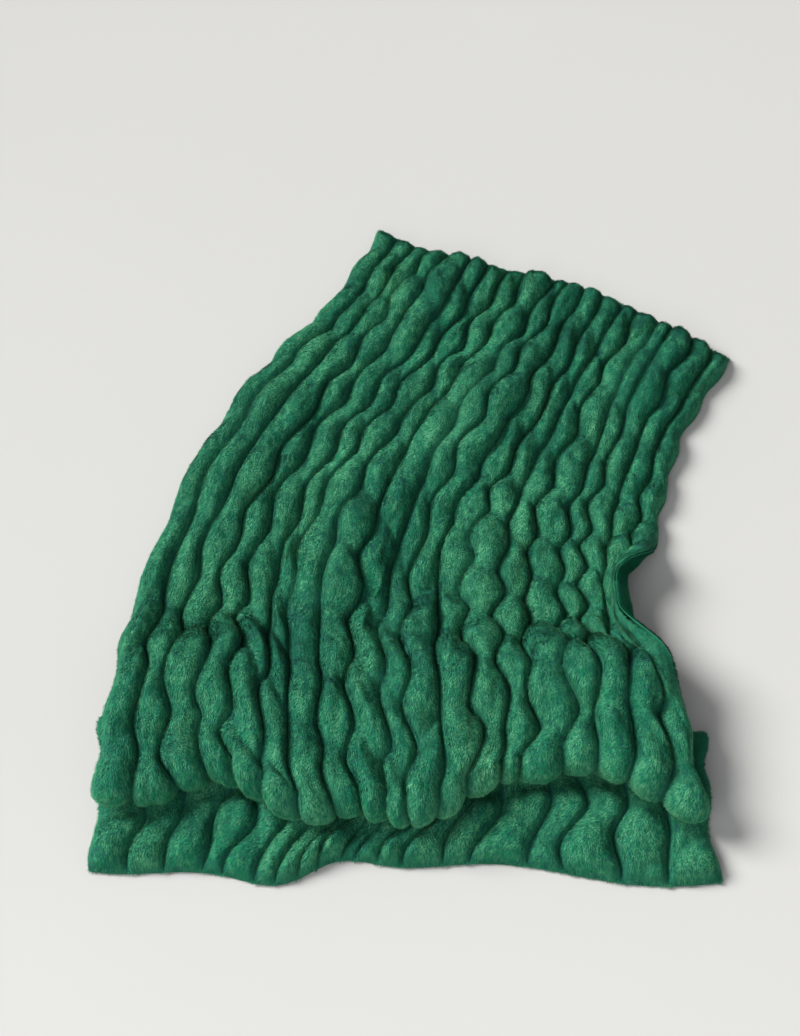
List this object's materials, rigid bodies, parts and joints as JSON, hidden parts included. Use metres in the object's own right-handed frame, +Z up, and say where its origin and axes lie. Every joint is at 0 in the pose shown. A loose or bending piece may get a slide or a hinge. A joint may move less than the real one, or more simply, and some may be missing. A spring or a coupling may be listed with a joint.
{
  "type": "ruched plush throw blanket",
  "caption": "Ruched faux fur throw laid out on the floor, its near hem folded back and forth and one side edge turned up.",
  "frame": {"origin": "on the floor under the middle of the throw's box", "axes": "+Y along the ribs from the folded near hem to the far hem, +X to the right seen from the near hem, +Z up"},
  "size_m": [1.367, 1.7812, 0.1693],
  "materials": {
    "ruched_plush": "dense short emerald green faux fur pile, soft sheen on the crowns of the puffs",
    "smooth_plush": "smooth short green plush with shallow puckers"
  },
  "bodies": {
    "root": {"ruched_panel": "ruched_plush", "plush_backing": "smooth_plush"}
  },
  "joints": []
}
